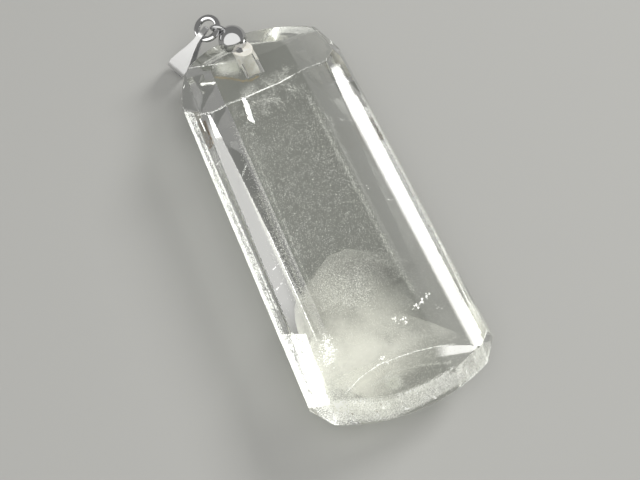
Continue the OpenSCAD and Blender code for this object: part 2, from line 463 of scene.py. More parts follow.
# %% Lines of sight
PHOTO_WIDE, PHOTO_HIGH = 640, 480
FOCAL_PX = LENS_MM / lens.sensor_width * PHOTO_WIDE
FRONT_R = 55 * MM
FRONT_FACES_UP = 0.99
quartz_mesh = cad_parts["quartz"].data
facets = BVHTree.FromPolygons([v.co for v in quartz_mesh.vertices],
                              [p.vertices[:] for p in quartz_mesh.polygons])
lit_stone = bpy.data.collections.new("lit_stone")
lit_stone.objects.link(stone)


def sight(px, py):
    """The direction from the camera through a point of the photograph."""
    turn = camera.rotation_euler.to_matrix()
    aside = Vector((px - PHOTO_WIDE / 2, PHOTO_HIGH / 2 - py, -FOCAL_PX))
    return (turn @ aside).normalized()


def domed(hit, normal):
    """The normal there: the front's flat triangles stand for one smooth dome."""
    if normal.z > FRONT_FACES_UP:
        return Vector((hit.x / FRONT_R, 0, 1)).normalized()
    return normal


def bounced(px, py, spot, normal):
    """Where that line of sight meets the facet's plane, and how it goes on."""
    ray = sight(px, py)
    hit = CAMERA_AT + ray * ((spot - CAMERA_AT).dot(normal) / ray.dot(normal))
    return hit, ray.reflect(domed(hit, normal))


print("focal length %.0f px, facets %d" % (FOCAL_PX, len(quartz_mesh.polygons)))

# %% Cards that fade out at their margins


def fade_margins(card, x_margins, y_margins):
    """Lets a light fade out over a share of its width and height on each side."""
    card.data.use_nodes = True
    tree = card.data.node_tree
    across = node(tree, "ShaderNodeNewGeometry")
    split = node(tree, "ShaderNodeSeparateXYZ")
    tree.links.new(across.outputs["Parametric"], split.inputs["Vector"])
    strength = 1.0
    for axis, margins in (("X", x_margins), ("Y", y_margins)):
        for edge, margin in zip((0, 1), margins):
            if margin > 0:
                ramp = ranged(tree, split.outputs[axis], (edge, abs(edge - margin)),
                              interpolation_type="SMOOTHSTEP")
                strength = combined(tree, "MULTIPLY", strength, ramp)
    tree.links.new(strength, tree.nodes["Emission"].inputs["Strength"])


def put_card(name, stand, spot, size, glow, receivers):
    """A light that only the receivers see, and only in their mirror images."""
    card = soft_light(name, stand, spot, size[0], size[1], glow)
    card.visible_camera = False
    card.visible_diffuse = False
    card.visible_transmission = False
    card.light_linking.receiver_collection = receivers
    return card


# %% A card worked out from four points of the photograph


def mirror_card(name, corners, far, glow, margins=(0, 0, 0, 0)):
    """A card that shows in the stone between four points of the photograph.

    corners start at the top left and run clockwise. margins, in mm, are added on
    the left, right, top and bottom, and the card fades out over them.
    """
    middle = [sum(corner[i] for corner in corners) / 4 for i in (0, 1)]
    spot, facet_normal, _, _ = facets.ray_cast(CAMERA_AT, sight(*middle))
    spot, away = bounced(*middle, spot, facet_normal)
    stand = spot + away * far
    ends = []
    for px, py in corners:
        hit, way = bounced(px, py, spot, facet_normal)
        ends.append(hit + way * ((stand - hit).dot(away) / way.dot(away)))
    right = (ends[1] - ends[0] + ends[2] - ends[3]) / 2
    up = (ends[0] - ends[3] + ends[1] - ends[2]) / 2
    if up.length > right.length:
        rise = (up - away * up.dot(away)).normalized()
        side = rise.cross(away)
    else:
        side = (right - away * right.dot(away)).normalized()
        rise = away.cross(side)
    left_mm, right_mm, top_mm, bottom_mm = (m * MM for m in margins)
    if right.dot(side) < 0:
        left_mm, right_mm = right_mm, left_mm
    if up.dot(rise) < 0:
        top_mm, bottom_mm = bottom_mm, top_mm
    wide = abs(right.dot(side)) + left_mm + right_mm
    high = abs(up.dot(rise)) + top_mm + bottom_mm
    stand = sum(ends, Vector()) / 4
    stand += side * (right_mm - left_mm) / 2 + rise * (top_mm - bottom_mm) / 2
    card = put_card(name, stand, spot, (wide, high), glow, lit_stone)
    card.rotation_euler = Matrix((side, rise, away)).transposed().to_euler()
    if any(margins):
        fade_margins(card, (left_mm / wide, right_mm / wide),
                     (bottom_mm / high, top_mm / high))
    print(name, "facet normal", [round(v, 2) for v in facet_normal],
          "toward", [round(v, 2) for v in away])


# %% The highlights of the photograph
RIGHT_BAND = ((332, 72), (340, 72), (482, 342), (474, 342))
RIGHT_THREAD = ((355.2, 95), (357.5, 95), (483, 333), (480.7, 333))
LEFT_BAND = ((213, 135), (228, 135), (286, 300), (262, 300))
LOW_LEFT = ((284, 336), (300, 334), (322, 402), (314, 406))
BAR = ((241, 98), (246, 98), (254, 122), (249, 122))
BEVEL_TOP = ((207, 118), (217, 114), (221, 134), (215, 136))
ARC_BAND = ((450, 345), (484, 340), (486, 348), (452, 354))
CARD_M = 0.35
BAR_M = 0.40
mirror_card("right_band", RIGHT_BAND, CARD_M, glow=20.0, margins=(260, 2, 4, 30))
mirror_card("right_thread", RIGHT_THREAD, CARD_M, glow=9.0)
mirror_card("left_band", LEFT_BAND, CARD_M, glow=7.0, margins=(2, 10, 10, 24))
mirror_card("low_left", LOW_LEFT, CARD_M, glow=11.0, margins=(4, 16, 6, 20))
mirror_card("bar", BAR, BAR_M, glow=26.0)
mirror_card("bevel_top", BEVEL_TOP, CARD_M, glow=20.0, margins=(0, 4, 2, 2))
mirror_card("arc_band", ARC_BAND, CARD_M, glow=13.0, margins=(8, 2, 1, 1))

# %% [markdown]
# ## The metal
# Cap, jump ring and bail are silver-coloured metal. Their shapes are right in the
# frame, so the pieces stay and get the finish. The cap and the ring are polished
# and mirror sharp patches of light; their colour is darker than the bail's, a
# painted shade for the dark surroundings that they mirror. The bail is sheet metal
# with a brushed finish, so it gets a higher roughness and coarser hairlines from
# the same group, and its sheet edges are softened.

# %% Polished and brushed metal


def metal(name, colour, hairline_scale, smooth, rough, bump):
    """Bare metal whose roughness and normals vary with hairlines and haze."""
    look, tree, shader, place = new_material(name, colour, Metallic=1.0)
    wear = place_group(tree, hairlines, place, Scale=hairline_scale, Amount=0.8)
    haze = place_group(tree, cloud, place, Scale=900.0, Low=0.35, High=0.75)
    both = combined(tree, "MAXIMUM", wear.outputs["Mask"], haze.outputs["Mask"])
    link_range(tree, both, shader.inputs["Roughness"], smooth, rough)
    link_bump(tree, wear.outputs["Height"], shader, strength=bump, distance=0.01 * MM)
    return look


SHEET_EDGE_MM = 0.05
SHEET_EDGE_ANGLE = math.radians(30)
# the polished metal is darker than the brushed: painted shade for the dark surroundings it
# mirrors
polished = metal("polished_silver_painted_dark", (0.55, 0.55, 0.56), hairline_scale=2600.0,
                 smooth=0.04, rough=0.15, bump=0.12)
brushed = metal("brushed_silver", (0.80, 0.80, 0.81), hairline_scale=1500.0,
                smooth=0.30, rough=0.42, bump=0.5)
for name, look in (("cap", polished), ("jump_ring", polished), ("bail", brushed)):
    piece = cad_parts[name]
    piece.data.materials.clear()
    piece.data.materials.append(look)
round_ridges(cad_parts["bail"], SHEET_EDGE_MM * MM, segments=2,
             angle=SHEET_EDGE_ANGLE)
print("metal pieces: cap, jump_ring, bail")

# %% [markdown]
# ### Something for the metal to mirror
# Polished metal in a grey room looks grey, and it needs something bright to
# mirror. A paler colour would make it look like plaster, so each fitting gets a
# round card of its own, which stands where one point of it mirrors the camera's
# line of sight. The card of the bail is raised, since its mirrored line runs
# into the floor.

# %% Cards for the metal


def metal_card(name, piece, px, py, far, size, glow, raised=0):
    """A round card mirrored at one point of a metal piece, raised above the floor."""
    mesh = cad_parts[piece].data
    skin = BVHTree.FromPolygons([v.co for v in mesh.vertices],
                                [p.vertices[:] for p in mesh.polygons])
    ray = sight(px, py)
    spot, normal, _, _ = skin.ray_cast(CAMERA_AT, ray)
    away = ray.reflect(normal)
    away.z = max(away.z, raised)
    only = bpy.data.collections.new("lit_" + piece)
    only.objects.link(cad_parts[piece])
    stand = spot + away.normalized() * far
    card = put_card(name, stand, spot, size, glow, only)
    card.data.shape = "ELLIPSE"
    print(name, "stands toward", [round(v, 2) for v in away])


metal_card("dome_card", "cap", 232, 41, far=0.08, size=(0.44, 0.42), glow=0.85)
metal_card("ring_card", "jump_ring", 208, 20, far=0.12, size=(0.40, 0.34), glow=2.2)
metal_card("bail_card", "bail", 180, 58, far=0.12, size=(0.14, 0.10), glow=1.25, raised=0.35)

# %% [markdown]
# ## Glue in the drilled hole
# The glue wets the wall of the hole, so there is no air film to mirror the
# light, and it shows as a whitish plug through the shoulder facet; a painted glow
# keeps it bright. The exact plug is too even for glue and stops at the mouth, so it
# gives way to one skin, swept round the hole: a closed lower end, the wall, and a
# bead that spills over the mouth and climbs a little up the dome of the cap.

# %% Glue material
WHITE_GLUE = (0.92, 0.91, 0.88)
DULL_GLUE = (0.74, 0.71, 0.62)
AGED_GLUE = (0.62, 0.50, 0.27)
AGED_MM = (0.12, 0.02)
# GLUE_GLOW is a painted glow: emission that keeps the plug bright behind the stone
GLUE_GLOW = 0.16


def two_tones(tree, mask, first, second):
    """A colour that runs from first to second, each a colour or a node's output."""
    mix = node(tree, "ShaderNodeMix", data_type="RGBA")
    tree.links.new(mask, mix.inputs["Factor"])
    for colour, socket in ((first, mix.inputs["A"]), (second, mix.inputs["B"])):
        if isinstance(colour, bpy.types.NodeSocket):
            tree.links.new(colour, socket)
        else:
            socket.default_value = (*colour, 1)
    return mix.outputs["Result"]


glue_lo, glue_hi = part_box("adhesive")
glue_look, tree, shader, place = new_material(
    "cured_glue", (0.86, 0.84, 0.78), Roughness=0.35)
lumps = place_group(tree, cloud, place, Scale=1500.0, Low=0.3, High=0.7)
axes = node(tree, "ShaderNodeSeparateXYZ")
tree.links.new(place, axes.inputs["Vector"])
aged = ranged(tree, axes.outputs["Y"], [glue_lo.y + up * MM for up in AGED_MM])
fresh = two_tones(tree, lumps.outputs["Mask"], WHITE_GLUE, DULL_GLUE)
golden = two_tones(tree, aged, fresh, AGED_GLUE)
tree.links.new(golden, shader.inputs["Base Color"])
tree.links.new(golden, shader.inputs["Emission Color"])
shader.inputs["Emission Strength"].default_value = GLUE_GLOW
link_bump(tree, lumps.outputs["Mask"], shader, strength=0.3, distance=0.05 * MM)
print("glue ages below y = %.1f mm" % (glue_lo.y / MM + AGED_MM[0]))

# %% The glue's skin
hole_x = (glue_lo.x + glue_hi.x) / 2
hole_z = (glue_lo.z + glue_hi.z) / 2
hole_r = (glue_hi.x - glue_lo.x) / 2 + 0.05 * MM
SEAT_SLOPE = math.radians(30)
SEAT_AT = Vector((0, 20.9, 7.05)) * MM
DOME_AT = Vector((-1.55, 25.2, 5.8)) * MM
DOME_R = 1.8 * MM
seat_up = Vector((0, math.sin(SEAT_SLOPE), math.cos(SEAT_SLOPE)))
dome_height = (DOME_AT - SEAT_AT).dot(seat_up)
dome_foot_r = math.sqrt(DOME_R ** 2 - dome_height ** 2)
# step by step: share of the hole's radius and height of the closed lower end, then
# reach beyond the hole's wall and height of the bead over the mouth, in mm
LOW_END = {0: (0.25, 0.00), 1: (0.60, 0.12), 2: (0.88, 0.42), 3: (1.0, 0.95)}
MOUTH = {4: (0.0, 0.0), 5: (0.05, 0.0), 6: (0.09, -0.01), 7: (0.06, 0.05),
         8: (-0.04, 0.07), 9: (-0.20, 0.05), 10: (-0.5, 0.02)}
LIP_STEPS = (4, 5)
LIP_SUNK_MM = -0.05
# the bead climbs the dome in a curve this high that reaches this far, and is flat
# under the dome
CLIMB_HIGH_MM = 0.14
CLIMB_REACH_MM = 0.12
CLIMB_SLOPE = 1.3
UNDER_DOME_MM = -0.01
# three broad lumps and seven small ones round the hole
BROAD_LUMP = 0.25
SMALL_LUMP = 0.15


def bead_height(point, wanted):
    """How high glue stands at a point of the seat: none under the dome."""
    away = (point - DOME_AT + dome_height * seat_up).length - dome_foot_r
    if away < 0:
        return UNDER_DOME_MM * MM
    climb = CLIMB_HIGH_MM * MM * math.exp(-away / (CLIMB_REACH_MM * MM))
    return min(wanted + climb, CLIMB_SLOPE * away)


def glue_ring(turn, step):
    """A point of the glue skin at an angle round the hole, step by step outward."""
    side, rise = math.cos(turn), math.sin(turn)
    lump = 1 + BROAD_LUMP * math.sin(3 * turn + 0.8) + SMALL_LUMP * math.sin(7 * turn)
    if step in LOW_END:
        out, up = LOW_END[step]
        return Vector((hole_x + out * hole_r * side, glue_lo.y - 0.04 * MM + up * MM,
                       hole_z + out * hole_r * rise))
    out, wanted = MOUTH[step]
    reach = hole_r + out * lump * MM
    z = hole_z + reach * rise
    y = SEAT_AT.y + (SEAT_AT.z - z) / math.tan(SEAT_SLOPE)
    point = Vector((hole_x + reach * side, y, z))
    if step in LIP_STEPS:
        return point + LIP_SUNK_MM * MM * seat_up
    return point + bead_height(point, wanted * lump * MM) * seat_up


print("hole radius %.2f mm" % (hole_r / MM))

# %% Glue plug and bead
TURNS = 48
STEPS = len(LOW_END) + len(MOUTH)
work = bmesh.new()
rings = [[work.verts.new(glue_ring(2 * math.pi * i / TURNS, step)) for i in range(TURNS)]
         for step in range(STEPS)]
for near, far in zip(rings, rings[1:]):
    for i in range(TURNS):
        j = (i + 1) % TURNS
        work.faces.new((near[i], near[j], far[j], far[i]))
work.faces.new(rings[0][::-1])
work.faces.new(rings[-1])
bmesh.ops.recalc_face_normals(work, faces=work.faces)
glue = from_bmesh(work, "glue_plug")
glue.data.materials.append(glue_look)
for face in glue.data.polygons:
    face.use_smooth = len(face.vertices) == 4
soften = glue.modifiers.new("soften", "SUBSURF")
soften.levels = soften.render_levels = 1
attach(glue, "root")
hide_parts("adhesive")
print("glue faces:", len(glue.data.polygons))

# %% [markdown]
# ## Ghost crystals
# A phantom is the outline of an earlier, smaller crystal, drawn by dust that
# settled on its tip before it grew on. Each ghost here is that: tens of
# thousands of tiny closed grains, scattered over the skin of the upper ghost
# and through the body of the lower one, in drifts. Where a face is seen edge
# on, the grains add up to a line of fog, exactly as in the real stone.

# %% Grains as one joined mesh
CLEAR_MM = 0.02
TETRA = np.array([(1, 1, 1), (1, -1, -1), (-1, 1, -1), (-1, -1, 1)]) / math.sqrt(3)
TETRA_FACES = ((0, 1, 2), (0, 3, 1), (0, 2, 3), (1, 3, 2))


def random_turns(rng, count):
    """One random rotation matrix for each grain."""
    q = rng.normal(size=(count, 4))
    q /= np.linalg.norm(q, axis=1)[:, None]
    w, x, y, z = q.T
    return np.stack([
        np.stack([1 - 2 * (y * y + z * z), 2 * (x * y - z * w), 2 * (x * z + y * w)], 1),
        np.stack([2 * (x * y + z * w), 1 - 2 * (x * x + z * z), 2 * (y * z - x * w)], 1),
        np.stack([2 * (x * z - y * w), 2 * (y * z + x * w), 1 - 2 * (x * x + y * y)], 1),
    ], 1)


stone_skin = BVHTree.FromPolygons([v.co / MM for v in stone.data.vertices],
                                  [p.vertices[:] for p in stone.data.polygons])


def well_inside(centre, size):
    """True where a grain lies wholly inside the stone."""
    near, normal, _, _ = stone_skin.find_nearest(Vector(centre))
    return (near - Vector(centre)).dot(normal) > 0.5 * size + CLEAR_MM


def grain_piece(name, centres, sizes, rng, look, squash=1.0):
    """Joins one small closed tetrahedron for each centre, in mm, into one piece."""
    kept = np.array([well_inside(c, s) for c, s in zip(centres, sizes)])
    centres, sizes = centres[kept], sizes[kept]
    count = len(centres)
    shape = TETRA * np.array((1.0, 1.0, squash))
    corners = np.einsum("nij,kj->nki", random_turns(rng, count), shape)
    corners = corners * sizes[:, None, None] / 2 + centres[:, None, :]
    faces = np.array(TETRA_FACES)[None] + 4 * np.arange(count)[:, None, None]
    mesh = bpy.data.meshes.new(name)
    mesh.from_pydata((corners * MM).reshape(-1, 3).tolist(), [],
                     faces.reshape(-1, 3).tolist())
    mesh.materials.append(look)
    piece = add_object(name, mesh)
    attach(piece, "root")
    print(name, "grains:", count)


print("faces of one grain:", len(TETRA_FACES))

# %% Dust materials


def dust(name, light_tone, dark_tone, glow):
    """Matt dust with two cloudy tones and a painted glow, emission that stands in for light
    scattered to it inside the stone.
    """
    look, tree, shader, place = new_material(name, light_tone, Roughness=0.7)
    patches = place_group(tree, cloud, place, Scale=420.0, Low=0.35, High=0.65)
    tone = two_tones(tree, patches.outputs["Mask"], light_tone, dark_tone)
    tree.links.new(tone, shader.inputs["Base Color"])
    tree.links.new(tone, shader.inputs["Emission Color"])
    shader.inputs["Emission Strength"].default_value = glow
    return look


# each glow above zero is a painted glow: emission that brightens the grains where no lamp
# reaches them
dust_with_painted_glow = dust("white_dust_painted_glow", (0.97, 0.97, 0.94), (0.84, 0.85, 0.79), glow=0.12)
speckle_with_painted_glow = dust("ground_speckle_painted_glow", (1.0, 1.0, 0.97), (0.84, 0.85, 0.79), glow=0.32)
frost_with_painted_glow = dust("white_frost_painted_glow", (1.0, 1.0, 0.98), (0.86, 0.87, 0.83), glow=0.80)
gold_with_painted_glow = dust("aged_glue_painted_glow", (0.64, 0.53, 0.33), (0.42, 0.33, 0.18), glow=0.12)
rust_look = dust("brown_stain", (0.34, 0.24, 0.13), (0.16, 0.11, 0.07), glow=0.0)
print("dusts:", ", ".join(look.name for look in (
    dust_with_painted_glow, speckle_with_painted_glow, frost_with_painted_glow, gold_with_painted_glow, rust_look)))

# %% Grains over a skin, through a body and in drifts
FALLOFF = 0.9
FINER_BY = 2.1
LAYERS = 4
CONTRAST = 0.9


def skin_points(cad_node, count, rng):
    """Points spread evenly over the node's surface, in mm."""
    mesh = cad_node.data
    mesh.calc_loop_triangles()
    corners = np.array([[mesh.vertices[v].co[:] for v in tri.vertices]
                        for tri in mesh.loop_triangles]) / MM
    a, b, c = corners[:, 0], corners[:, 1], corners[:, 2]
    areas = np.linalg.norm(np.cross(b - a, c - a), axis=1)
    pick = rng.choice(len(areas), count, p=areas / areas.sum())
    u, v = rng.random((2, count, 1))
    over = (u + v) > 1
    u, v = np.where(over, 1 - u, u), np.where(over, 1 - v, v)
    return a[pick] + u * (b - a)[pick] + v * (c - a)[pick]


def filled_points(cad_node, count, rng):
    """Points spread evenly through the node's volume, in mm."""
    mesh = cad_node.data
    tree = BVHTree.FromPolygons([v.co / MM for v in mesh.vertices],
                                [p.vertices[:] for p in mesh.polygons])
    lo, hi = boxed(cad_node.name)
    found = []
    while len(found) < count:
        for point in rng.uniform(lo, hi, (count, 3)):
            near, normal, _, _ = tree.find_nearest(Vector(point))
            if (near - Vector(point)).dot(normal) > 0:
                found.append(point)
    return np.array(found[:count])


def drift(points, scale, seed):
    """A soft random field from 0 to 1 that breaks dust up into drifts."""
    field = [noise_field.fractal(Vector(p) * scale + Vector((seed, 0, 0)), FALLOFF,
                                 FINER_BY, LAYERS) for p in points]
    return np.clip(0.5 + CONTRAST * np.array(field), 0, 1)


def boxed(name):
    """The lowest and the highest corner of a node's box, in mm."""
    return [np.array(corner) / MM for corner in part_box(name)]


upper_node, lower_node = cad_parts["upper_ghost"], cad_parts["lower_ghost"]
upper_lo, upper_hi = boxed("upper_ghost")
lower_lo, lower_hi = boxed("lower_ghost")
print("ghosts reach up to y = %.1f and %.1f mm" % (upper_hi[1], lower_hi[1]))

# %% Grains seen at a place of the photograph


def inside(px, py, deep):
    """The point that deep (in mm) below the facet seen at a point of the photograph."""
    ray = sight(px, py)
    hit, normal, _, _ = facets.ray_cast(CAMERA_AT, ray)
    if hit is None:
        return None
    normal = domed(hit, normal)
    cosine = -ray.dot(normal)
    bend = math.sqrt(1 - (1 - cosine ** 2) / QUARTZ_IOR ** 2)
    bent = ray / QUARTZ_IOR + normal * (cosine / QUARTZ_IOR - bend)
    return np.array(hit + bent * (deep * MM)) / MM


def seen_points(corners, count, rng, shallow, deep, blur=0):
    """Points, in mm, seen between four points of the photograph (clockwise)."""
    top_left, top_right, low_right, low_left = (np.array(c, float) for c in corners)
    found = []
    for u, v, w in rng.random((count, 3)):
        spot = (1 - v) * ((1 - u) * top_left + u * top_right) + v * (
            (1 - u) * low_left + u * low_right)
        spot = spot + rng.normal(0, blur, 2)
        point = inside(spot[0], spot[1], shallow + w * (deep - shallow))
        if point is not None:
            found.append(point)
    return np.array(found)


def seen_layers(rng, *layers):
    """Points of several layers: place, number, depth from and to in mm, blur in px."""
    return np.vstack([seen_points(place, number, rng, shallow, deep, blur)
                      for place, number, shallow, deep, blur in layers])


print("1 mm under the middle of the front:", inside(320, 240, 1.0).round(1))

# %% [markdown]
# ## Mist on the ghosts
# Grains alone look like sand. The fog between them is a mist skin: a copy of the
# ghost with softened ridges and a soft white surface that is mostly see-through,
# thinner toward the right and in drifts. Its glow is painted light, an emission
# that brightens it where no lamp reaches.

# %% Mist material
MIST_GLOW_COLOUR = (0.92, 0.91, 0.82)


def mist(name, thick, thin, glow, side_mm, stops):
    """A see-through white surface with a painted glow, thick on the left and thin on the right.

    stops are (y in mm, share of the thickness there), upward along the stone.
    """
    look, tree, shader, place = new_material(name, (0.93, 0.93, 0.87), Roughness=0.9)
    drifts = place_group(tree, cloud, place, Scale=260.0, Low=0.30, High=0.72)
    split = node(tree, "ShaderNodeSeparateXYZ")
    tree.links.new(place, split.inputs["Vector"])
    fall = ranged(tree, split.outputs["X"], (side_mm[0] * MM, side_mm[1] * MM), (thick, thin))
    low_y, high_y = stops[0][0], stops[-1][0]
    along = ranged(tree, split.outputs["Y"], (low_y * MM, high_y * MM))
    ramp = node(tree, "ShaderNodeValToRGB")
    while len(ramp.color_ramp.elements) < len(stops):
        ramp.color_ramp.elements.new(0.5)
    for mark, (y, share) in zip(ramp.color_ramp.elements, stops):
        mark.position = (y - low_y) / (high_y - low_y)
        mark.color = (share, share, share, 1)
    tree.links.new(along, ramp.inputs["Fac"])
    uneven = ranged(tree, drifts.outputs["Mask"], into=(0.45, 1))
    sideways = combined(tree, "MULTIPLY", uneven, fall)
    alpha = combined(tree, "MULTIPLY", sideways, ramp.outputs["Color"])
    tree.links.new(alpha, shader.inputs["Alpha"])
    shader.inputs["Emission Color"].default_value = (*MIST_GLOW_COLOUR, 1)
    shader.inputs["Emission Strength"].default_value = glow
    return look


thin_mist = mist("thin_mist", thick=0.42, thin=0.06, glow=0.20,
                 side_mm=(upper_lo[0], upper_hi[0]),
                 stops=((-12.8, 0.1), (-9.5, 0.5), (-7.2, 1.0)))
thick_mist = mist("thick_mist", thick=0.95, thin=0.10, glow=0.32,
                  side_mm=(lower_lo[0], lower_hi[0]),
                  stops=((-25.9, 0.5), (-24.8, 0.2), (-22, 0.2), (-20.8, 1.0),
                         (-18.6, 0.5), (-16.5, 0.12), (-14.5, 0.0)))
print("mists:", thin_mist.name, thick_mist.name)

# %% Mist skins
THIN_SOFT_MM = 0.2
THICK_SOFT_MM = 0.6


def mist_skin(name, cad_node, look, softness):
    """A copy of the ghost with softened ridges, in the mist material."""
    skin = merged_copy(cad_node, name, lambda edge: True)
    skin.data.materials.append(look)
    round_ridges(skin, softness * MM, segments=3, clamp=True)
    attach(skin, "root")
    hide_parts(cad_node.name)


mist_skin("upper_mist", upper_node, thin_mist, THIN_SOFT_MM)
mist_skin("lower_mist", lower_node, thick_mist, THICK_SOFT_MM)

# %% [markdown]
# ## Soft fog
# The fog has no edge on its right, where it thins into the clear stone. A skin
# would show its outline there, so one flat, lumpy body of fog lies between the
# two ghosts, and its thickness falls to nothing well before its own rim.

# %% Fog material
FOG_HEART = (-6.0, -17.3)
FOG_FADE_MM = (11.4, 10.3)
FOG_GLOW_COLOUR = (0.93, 0.92, 0.83)
FOG_FULL_AT = 0.75
FOG_THICK = 0.56
# FOG_GLOW is a painted glow: emission that brightens the fog where no lamp reaches
FOG_GLOW = 0.28
NO_LIMIT = 1000
fog_look, tree, shader, place = new_material("soft_fog", (0.94, 0.94, 0.87), Roughness=0.9)
from_heart = node(tree, "ShaderNodeMapping", vector_type="TEXTURE")
from_heart.inputs["Location"].default_value = (FOG_HEART[0] * MM, FOG_HEART[1] * MM, 0)
from_heart.inputs["Scale"].default_value = (
    FOG_FADE_MM[0] * MM, FOG_FADE_MM[1] * MM, NO_LIMIT)
tree.links.new(place, from_heart.inputs["Vector"])
round_fade = node(tree, "ShaderNodeTexGradient", gradient_type="SPHERICAL")
tree.links.new(from_heart.outputs["Vector"], round_fade.inputs["Vector"])
thickness = ranged(tree, round_fade.outputs["Fac"], (0, FOG_FULL_AT), (0, FOG_THICK),
                   interpolation_type="SMOOTHSTEP")
wisps = place_group(tree, cloud, place, Scale=230.0, Low=0.36, High=0.62)
uneven = ranged(tree, wisps.outputs["Mask"], into=(0.35, 1))
tree.links.new(combined(tree, "MULTIPLY", thickness, uneven), shader.inputs["Alpha"])
shader.inputs["Emission Color"].default_value = (*FOG_GLOW_COLOUR, 1)
shader.inputs["Emission Strength"].default_value = FOG_GLOW
print("fog reaches %.1f mm to the right of its heart" % FOG_FADE_MM[0])

# %% Fog body
FOG_MIDDLE = (-2.0, -16.2, 4.6)
FOG_REACH = (6.2, 8.6, 1.5)
FOG_LUMPS = 0.08
work = bmesh.new()
bmesh.ops.create_icosphere(work, subdivisions=4, radius=1.0)
for vert in work.verts:
    lump = 1 + FOG_LUMPS * noise_field.noise(vert.co * 2.3)
    vert.co = Vector(m + r * lump * c for m, r, c in zip(FOG_MIDDLE, FOG_REACH, vert.co)) * MM
fog = from_bmesh(work, "soft_fog")
fog.data.materials.append(fog_look)
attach(fog, "root")
print("fog faces:", len(fog.data.polygons))

# %% [markdown]
# ## Dust of the ghosts
# The upper ghost is a thin tent: its dust lies on the skin, thickest at the tip
# and on the left. The lower ghost is a cloud: its dust fills the body, thins out
# toward the right, and leaves the clear lens in front of the lower end free.

# %% Upper ghost grains
OFF_SKIN_MM = 0.15
UPPER_TRIES = 30000
rng = np.random.default_rng(11)
points = skin_points(upper_node, UPPER_TRIES, rng)
points = points + rng.normal(0, OFF_SKIN_MM, (UPPER_TRIES, 3))
below_tip = (upper_hi[1] - points[:, 1]) / (upper_hi[1] - upper_lo[1])
rightward = (points[:, 0] - upper_lo[0]) / (upper_hi[0] - upper_lo[0])
# how likely each grain is to stay: most at the tip and on the left
wish = drift(points, 0.45, 3) * (0.30 - 0.26 * below_tip) * (1.1 - 0.9 * rightward)
points = points[(rng.random(len(points)) < wish) & (below_tip < 1)]
grain_piece("upper_veil", points, rng.uniform(0.05, 0.10, len(points)), rng, dust_with_painted_glow)

# %% Lower ghost grains
LENS_BELOW_Y = -21.8
LENS_ABOVE_Z = 3.2
END_BELOW_Y = -24.3
END_UNDER_Z = 6.0
LEFT_SIDE_MM = 1.5
BODY_TRIES = 80000
SKIN_TRIES = 40000
MOST_GRAINS = 49000
rng = np.random.default_rng(12)
body = filled_points(lower_node, BODY_TRIES, rng)
down = (lower_hi[1] - body[:, 1]) / (lower_hi[1] - lower_lo[1])
across = (body[:, 0] - lower_lo[0]) / (lower_hi[0] - lower_lo[0])
under_lens = (body[:, 1] < LENS_BELOW_Y) & (body[:, 2] > LENS_ABOVE_Z)
# more grains toward the lower end and the left, and few under the lens
wish = np.clip(1.6 * down, 0, 1) * (0.06 + 0.9 * np.clip(1.1 - across, 0, 1) ** 2)
wish = wish * (0.10 + 0.9 * drift(body, 0.30, 9)) * np.where(under_lens, 0.08, 0.8)
body = body[rng.random(len(body)) < wish]
skin = skin_points(lower_node, SKIN_TRIES, rng)
skin = skin + rng.normal(0, OFF_SKIN_MM, (SKIN_TRIES, 3))
end_wall = (skin[:, 1] < END_BELOW_Y) & (skin[:, 2] < END_UNDER_Z)
left_side = skin[:, 0] < lower_lo[0] + LEFT_SIDE_MM
wish = np.where(end_wall | left_side, 0.8, 0.06) * drift(skin, 0.5, 5)
skin = skin[rng.random(len(skin)) < wish]
lower_points = np.vstack([body, skin])[:MOST_GRAINS]
grain_piece("lower_cloud", lower_points,
            rng.uniform(0.05, 0.11, len(lower_points)), rng, dust_with_painted_glow)

# %% [markdown]
# ## Dust near the skin of the stone
# The back of the stone is ground rather than polished, so it carries a fine pale
# speckle, and its two long edges are lines of tiny chips. A flat piece of
# frosted glass would be one even grey. Grains in drifts look ground, and a
# painted glow makes them sparkle a little. Between the ghost and the right side
# hangs a thin haze.

# %% Speckle of the back
HAZE = ((326, 262), (388, 258), (446, 322), (330, 330))
WEDGE = ((234, 130), (252, 130), (312, 300), (296, 300))
PATCH = ((320, 272), (366, 270), (372, 302), (324, 310))
SPECKLE_END_Y = 16
SPECKLE_FADE_MM = 5


def slab_points(corner, along, across, count, rng, blur):
    """Points over a slab that starts at corner, all in mm, blurred on every side."""
    u, v = rng.random((2, count, 1))
    spots = np.array(corner) + u * np.array(along) + v * np.array(across)
    return spots + rng.normal(0, blur, (count, 3))


rng = np.random.default_rng(21)
back = slab_points((-4.9, -12, 0.3), (0, 28, 0), (9.8, 0, 0), 20000, rng, blur=0.05)
fade = np.clip((SPECKLE_END_Y - back[:, 1]) / SPECKLE_FADE_MM, 0, 1)
wish = (0.3 + 0.7 * drift(back, 1.6, 2)) * fade
back = back[rng.random(len(back)) < wish]
right_line = slab_points((5.0, -14, 0.3), (-0.9, 29, 0), (0, 0, 0), 1700, rng, blur=0.16)
haze = seen_points(HAZE, 9000, rng, 3.0, 6.5, blur=9)
wedge = seen_points(WEDGE, 1500, rng, 1.0, 5.0, blur=3)
left_line = slab_points((-4.7, -8, 0.3), (0.4, 19, 0), (0, 0, 0), 400, rng, blur=0.07)
patch = seen_points(PATCH, 3200, rng, 1.2, 2.8, blur=6)
speckle = np.vstack([back, right_line, left_line, patch, wedge])
speckle_sizes = 0.10 * rng.uniform(0.4, 1.0, len(speckle)) ** 2 + 0.02
grain_piece("back_speckle", speckle, speckle_sizes, rng, speckle_with_painted_glow)
grain_piece("soft_haze", haze, rng.uniform(0.03, 0.07, len(haze)), rng, dust_with_painted_glow)
